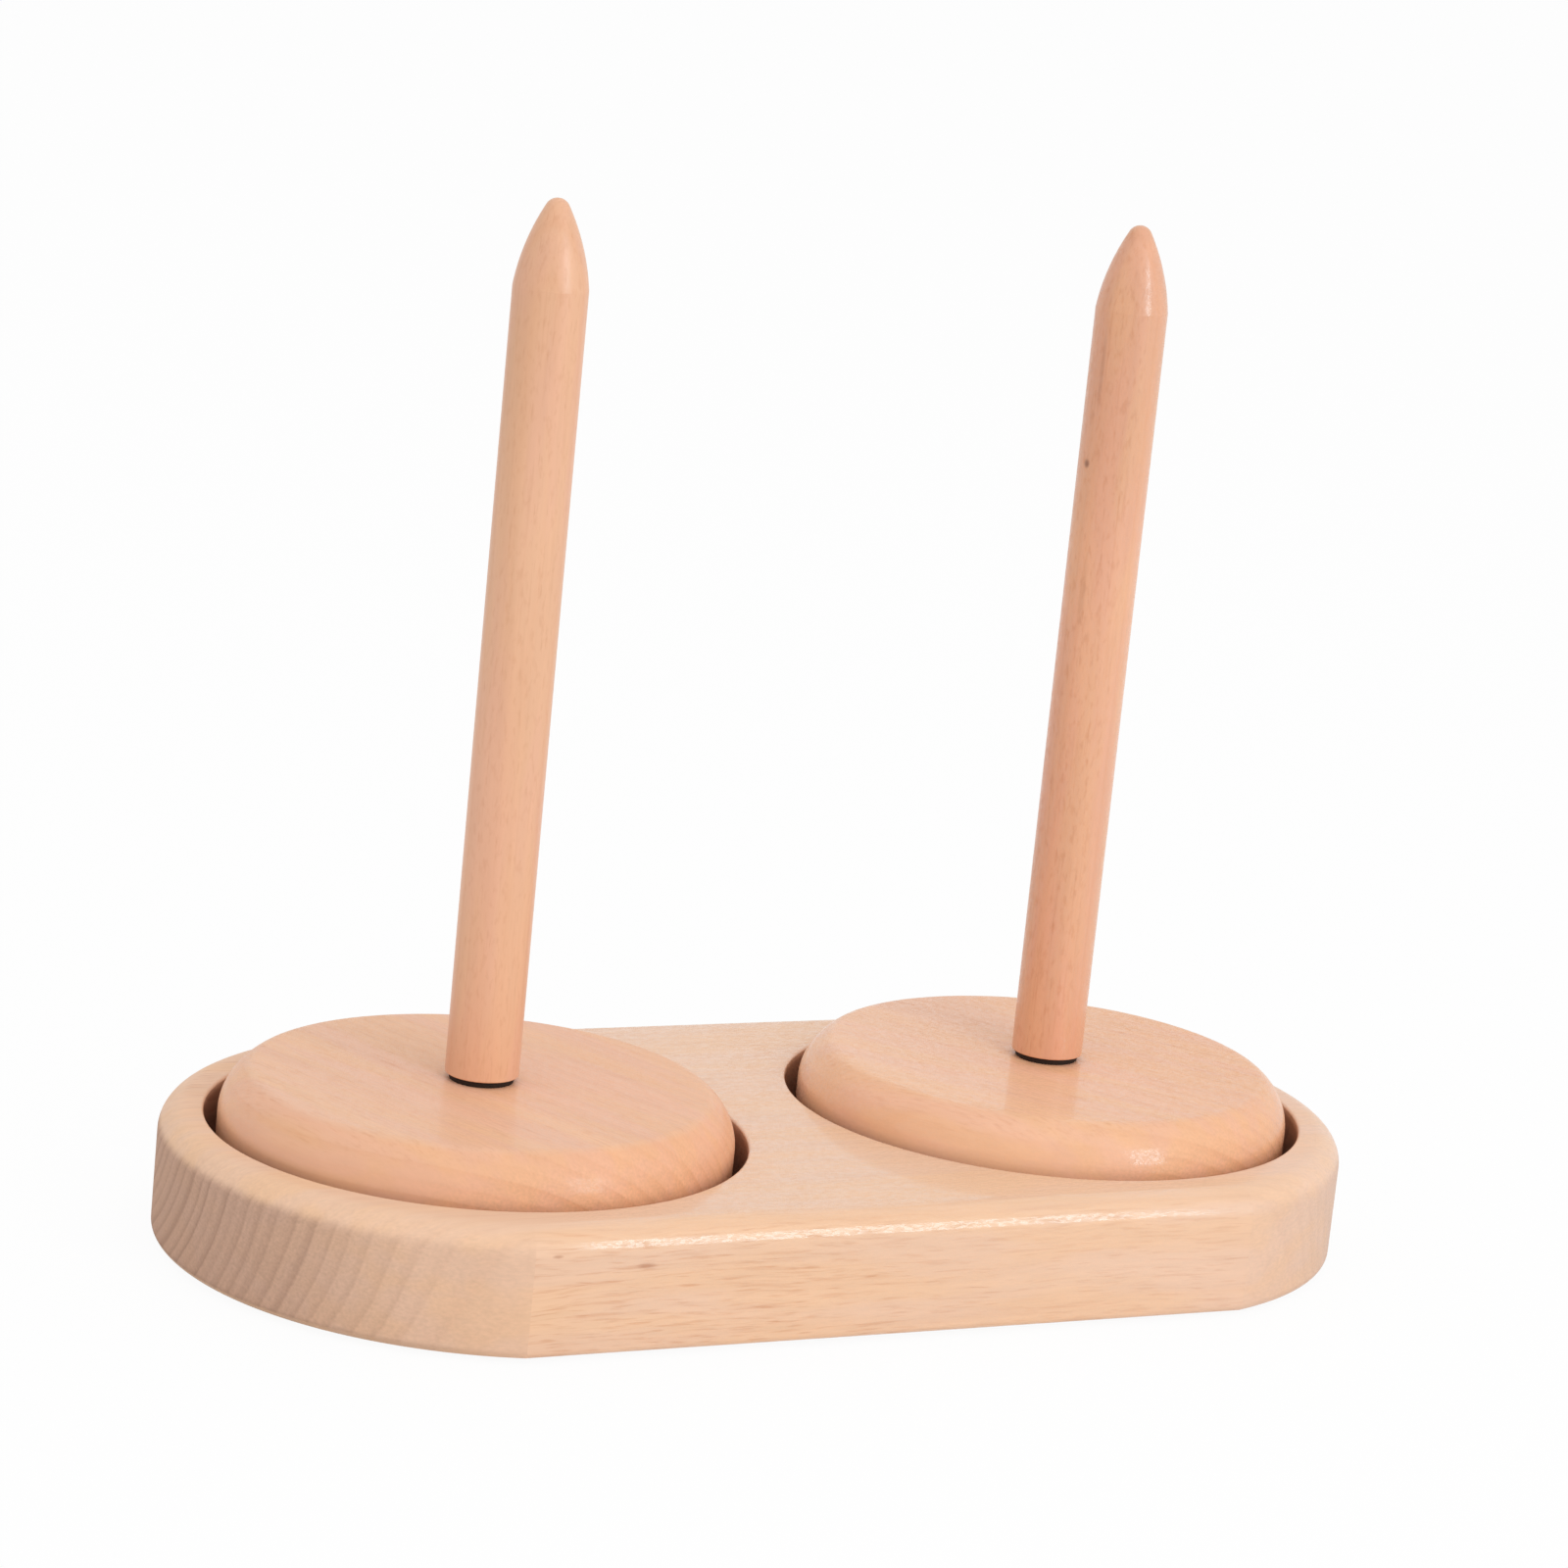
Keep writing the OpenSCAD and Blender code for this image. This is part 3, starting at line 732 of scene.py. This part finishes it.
# Painted light on the posts: each is shaded darker on its left, given a paler, bluer sheen on its right,
# and darkened by painted shade towards the tip
postWoods = {
    "left": dict(
        postWood, pith=(-axisX + 0.021, 0.045, 0.0), turnDeg=(0, -90, 20),
        pale=(232, 182, 146), blush=(232, 180, 149),
        paintedLightAlong=(-axisX - 8 * mm, -axisX + 4 * mm, (0.975, 0.96, 0.955), (1.0, 1.015, 1.03)),
        paintedLightUp=(postHigh.z - 80 * mm, postHigh.z - 35 * mm, (1, 1, 1), (0.96, 0.945, 0.925)),
    ),
    "right": dict(
        postWood, pith=(axisX + 0.05, 0.03, 0.0), turnDeg=(0, -90, -30),
        dashTone=0.24, dashSpread=0.2, lineTone=0.20, streakTone=0.34, coat=0.50, coatRough=0.17,
        pale=(233, 176, 138), blush=(232, 172, 140), markColour=(120, 72, 48),
        marks=[((67.4 * mm, -1.7 * mm, 192.2 * mm), (1.1 * mm, 1.3 * mm, 1.5 * mm), 0.7),
               ((67.9 * mm, -3.2 * mm, 215 * mm), (0.9 * mm, 0.9 * mm, 14 * mm), 0.20),
               ((68.6 * mm, -4.6 * mm, 160 * mm), (1.2 * mm, 1.2 * mm, 12 * mm), 0.14)],
        paintedLightAlong=(axisX - 8 * mm, axisX + 4 * mm, (0.96, 0.945, 0.94), (1.01, 1.03, 1.035)),
        paintedLightUp=(postHigh.z - 90 * mm, postHigh.z - 45 * mm, (1, 1, 1), (0.93, 0.92, 0.905)),
    ),
}


# From the drilled hole under the foot and up the side. The tip's arc leaves the shoulder at the break
# angle and runs into the small round end
def postProfile():
    low, top = postLow.z, postHigh.z
    radius = (postHigh.x - postLow.x) / 2
    shoulder = low + post["straight"]
    ball = post["tipRound"]
    centre = top - ball - shoulder
    lean = math.radians(post["tipBreakDeg"])
    spare = radius * math.cos(lean) - centre * math.sin(lean) - ball
    bow = (radius ** 2 + centre ** 2 - ball ** 2) / (2 * spare)
    bowR, bowZ = radius - bow * math.cos(lean), -bow * math.sin(lean)
    meet = math.degrees(math.atan2(centre - bowZ, -bowR))
    holeR = post["holeR"]
    cone = holeR / math.tan(math.radians(post["drillDeg"] / 2))
    hole = low + post["holeDepth"]
    cut = post["chamfer"]
    return np.vstack([
        run((0, hole + cone), (holeR, hole), post["drillSteps"]),
        run((holeR, hole), (holeR, low), post["holeSteps"])[1:],
        run((holeR, low), (radius - cut, low), post["footSteps"])[1:],
        eased((radius - cut, low), (radius, low), (radius, low + cut), post["easeSteps"])[1:],
        run((radius, low + cut), (radius, shoulder), post["sideSteps"])[1:],
        arc(bowR, shoulder + bowZ, bow, post["tipBreakDeg"], meet, post["bowSteps"])[1:],
        arc(0, shoulder + centre, ball, meet, 90, post["tipSteps"])[1:],
    ])


for side, centreX in sides:
    grid = turned(postProfile(), centreX, post["segments"], loop=False)
    addPiece(side + "Post", grid, side + "_turntable", [side + "_spindle_post"],
             beech(side + "PostBeech", postWoods[side]), sharpDeg=3.4)
print("posts done")

# Rubber washers under the posts
washer = dict(boreR=3.28 * mm, bulge=0.15 * mm, segments=96, faceSteps=6, edgeSteps=13)
blackRubber = rubber("blackRubber", rubberLook)


# The outer edge bulges as a parabola of height
def washerProfile():
    low, top = washerLow.z, washerHigh.z
    bulge = washer["bulge"]
    outerR = (washerHigh.x - washerLow.x) / 2
    share = np.linspace(-1, 1, washer["edgeSteps"])
    edge = np.column_stack([outerR - bulge * share ** 2, (low + top) / 2 + share * (top - low) / 2])
    return np.vstack([
        run((washer["boreR"], low), (outerR - bulge, low), washer["faceSteps"])[:-1],
        edge,
        run((outerR - bulge, top), (washer["boreR"], top), washer["faceSteps"])[1:],
    ])


for side, centreX in sides:
    grid = turned(washerProfile(), centreX, washer["segments"], loop=True)
    addPiece(side + "Washer", grid, side + "_turntable", [side + "_post_washer"],
             blackRubber)
print("washers done")

# Foot pads: flat where they are glued on, with an eased lower edge and a faint dish underneath
pad = dict(
    diameter=14 * mm, ease=0.45 * mm, dish=0.15 * mm,
    segments=72, topSteps=5, sideSteps=3, easeSteps=8, dishSteps=9,
)


# The dish falls from its depth at the middle to nothing at the edge, as a squared parabola
def padProfile():
    low, top = padLow.z, padHigh.z
    radius, ease = pad["diameter"] / 2, pad["ease"]
    flatR = radius - ease
    reach = np.linspace(flatR, 0, pad["dishSteps"])
    dish = np.column_stack([reach, low + pad["dish"] * (1 - (reach / flatR) ** 2) ** 2])
    return np.vstack([
        run((0, top), (radius, top), pad["topSteps"]),
        run((radius, top), (radius, low + ease), pad["sideSteps"])[1:],
        arc(flatR, low + ease, ease, 0, -90, pad["easeSteps"])[1:],
        dish[1:],
    ])


padX, padY = padHigh.x - pad["diameter"] / 2, padHigh.y - pad["diameter"] / 2
padPlaces = [(padX, padY), (-padX, padY), (-padX, -padY), (padX, -padY)]
padGrids = [turned(padProfile(), x, pad["segments"], False, y) for x, y in padPlaces]
addPiece("footPads", joined(padGrids), "base", ["foot_pads"], blackRubber)
print("foot pads done")

# Hidden hardware keeps its CAD form and gets its material
metals = {
    "brass": dict(pale=(214, 176, 92), dark=(176, 136, 60), rough=0.34),
    "zinc_steel": dict(pale=(196, 200, 204), dark=(150, 156, 164), rough=0.38),
    "bearing_steel": dict(pale=(214, 216, 220), dark=(182, 186, 192), rough=0.20),
    "shield_steel": dict(pale=(188, 192, 196), dark=(156, 160, 166), rough=0.32),
}
slotMaterials = {slot: turnedMetal(slot, dict(metalLook, **metal)) for slot, metal in metals.items()}
slotMaterials["nylon"] = nylon("nylon", nylonLook)
slotMaterials["black_rubber"] = blackRubber
for part in frame["record"]["subparts"]:
    if part["material_slot"] in slotMaterials:
        mesh = frame["nodes"][part["node"]].data
        mesh.materials.clear()
        mesh.materials.append(slotMaterials[part["material_slot"]])
print("hardware done")

# Axle bolts: a hexagon head with chamfered corners below, a plain shank, then a thread to the end
bolt = dict(
    shankR=2.98 * mm, acrossFlats=10 * mm, headH=4 * mm, chamferDeg=30, faceShare=0.94, plain=13 * mm,
    pitch=1.0 * mm, threadDepth=0.55 * mm, leadIn=0.8 * mm, leadExtra=0.1 * mm,
    columns=72, rowsPerTurn=10,
)


# Radius over height and angle. Head: the hexagon's own radius, met from below by a cone. Thread: a
# triangle wave of height over pitch, less a share of the angle, fading in and out at its ends
def boltGrid(centreX):
    angle = np.linspace(0, 2 * np.pi, bolt["columns"], endpoint=False)
    low, top = boltLow.z, boltHigh.z
    headTop = low + bolt["headH"]
    shankR = bolt["shankR"]
    flat = bolt["acrossFlats"] / 2
    hexR = flat / np.cos((angle + np.pi / 6) % (np.pi / 3) - np.pi / 6)
    faceR = flat * bolt["faceShare"]
    coneZ = low + (hexR - faceR) * math.tan(math.radians(bolt["chamferDeg"]))
    threadStart = headTop + bolt["plain"]
    turns = (top - bolt["leadIn"] - threadStart) / bolt["pitch"]
    z = np.linspace(threadStart, top, int(turns * bolt["rowsPerTurn"]))[:, None]
    wave = np.abs(((z / bolt["pitch"] - angle / (2 * np.pi)) % 1) * 2 - 1)
    fadeIn = np.clip((z - threadStart) / bolt["pitch"], 0, 1)
    end = np.clip((z - (top - bolt["leadIn"])) / bolt["leadIn"], 0, 1)
    core = shankR - bolt["threadDepth"] * wave * fadeIn
    thread = np.minimum(core, shankR - (bolt["threadDepth"] + bolt["leadExtra"]) * end)
    outline = [  # radius and height of each row, from the middle of the head to the middle of the end
        (0, low), (faceR, low), (hexR, coneZ), (hexR, headTop), (shankR, headTop),
        (shankR, threadStart), (thread, z), (0, top),
    ]
    radius = np.vstack([reach + 0 * angle for reach, level in outline])
    height = np.vstack([level + 0 * angle for reach, level in outline])
    points = np.stack([centreX + radius * np.cos(angle), radius * np.sin(angle), height], 2)
    return points.reshape(-1, 3), gridQuads(len(radius), bolt["columns"])


for side, centreX in sides:
    addPiece(side + "AxleBolt", boltGrid(centreX), side + "_turntable", [side + "_axle_bolt"],
             slotMaterials["zinc_steel"], sharpDeg=25)
print("bolts done")

# Studio: a white floor that keeps the shadow, and a white surround. The strip on the right only shows
# in the lacquer; the key light and the soft box only light the wood
studio = dict(
    floorSize=24.0, floorShare=0.94, floorPale=(0.91, 0.91, 0.91, 1), floorDark=(0.89, 0.89, 0.89, 1),
    floorCells=90, white=(1, 1, 1, 1), surround=0.79, aimAt=(0, 0, 0.08),
)
lamps = {
    "strip": dict(
        place=(0.66, -1.33, 0.60), size=(0.42, 0.76), rollDeg=-5, power=8.0, tint=(0.55, 0.88, 1.0),
        shows=True,
    ),
    "key": dict(
        place=(0.36, -1.43, 0.85), size=(0.9, 0.9), rollDeg=0, power=6.2, tint=(1, 1, 1), shows=False,
    ),
    "softBox": dict(
        place=(-0.15, -0.70, 1.85), size=(1.3, 1.3), rollDeg=0, power=4.3, tint=(1, 1, 1), shows=False,
    ),
}


def seenDirectly(root):  # 1 for the camera, for reflections and through clear things
    paths = root.node("LightPath", {}, {}, "Is Camera Ray")
    seen = paths.math("MAXIMUM", paths, paths.part("Is Glossy Ray"))
    return seen.math("MAXIMUM", seen, paths.part("Is Transmission Ray"))


def addFloor():
    half = studio["floorSize"] / 2
    mesh = bpy.data.meshes.new("floor")
    corners = [(-half, -half, 0), (half, -half, 0), (half, half, 0), (-half, half, 0)]
    mesh.from_pydata(corners, [], [(0, 1, 2, 3)])
    floor = bpy.data.objects.new("floor", mesh)
    scene.collection.objects.link(floor)
    material, root = newMaterial("floorPaper")
    grain = root.node("TexCoord", {}, {}, "Object").noise(studio["floorCells"], 3)
    colour = grain.blend(studio["floorPale"], studio["floorDark"])
    matt = root.node("BsdfDiffuse", {}, {"Color": colour})
    glow = root.node("Emission", {}, {"Color": studio["white"], "Strength": 1.0})
    share = seenDirectly(root) * studio["floorShare"]
    both = root.node("MixShader", {}, {0: share, 1: matt, 2: glow})
    root.node("OutputMaterial", {}, {"Surface": both})
    mesh.materials.append(material)


def addSurround():
    world = bpy.data.worlds.new("studio")
    world.use_nodes = True
    world.node_tree.nodes.clear()
    scene.world = world
    root = Wire(world.node_tree)
    strength = studio["surround"] + seenDirectly(root) * (1 - studio["surround"])
    air = root.node("Background", {}, {"Color": studio["white"], "Strength": strength})
    root.node("OutputWorld", {}, {"Surface": air})


def addLamps():
    for name, made in lamps.items():
        lamp = bpy.data.lights.new(name, "AREA")
        lamp.shape = "RECTANGLE"
        lamp.size, lamp.size_y = made["size"]
        lamp.energy = made["power"]
        lamp.color = made["tint"]
        hung = bpy.data.objects.new(name, lamp)
        hung.visible_glossy = made["shows"]
        hung.visible_diffuse = not made["shows"]
        hung.location = made["place"]
        aim = Vector(studio["aimAt"]) - Vector(made["place"])
        spin = Quaternion((0, 0, 1), math.radians(made["rollDeg"]))
        hung.rotation_euler = (aim.to_track_quat("-Z", "Y") @ spin).to_euler()
        scene.collection.objects.link(hung)


addFloor()
addSurround()
addLamps()
print("studio done")

bpy.context.view_layer.update()
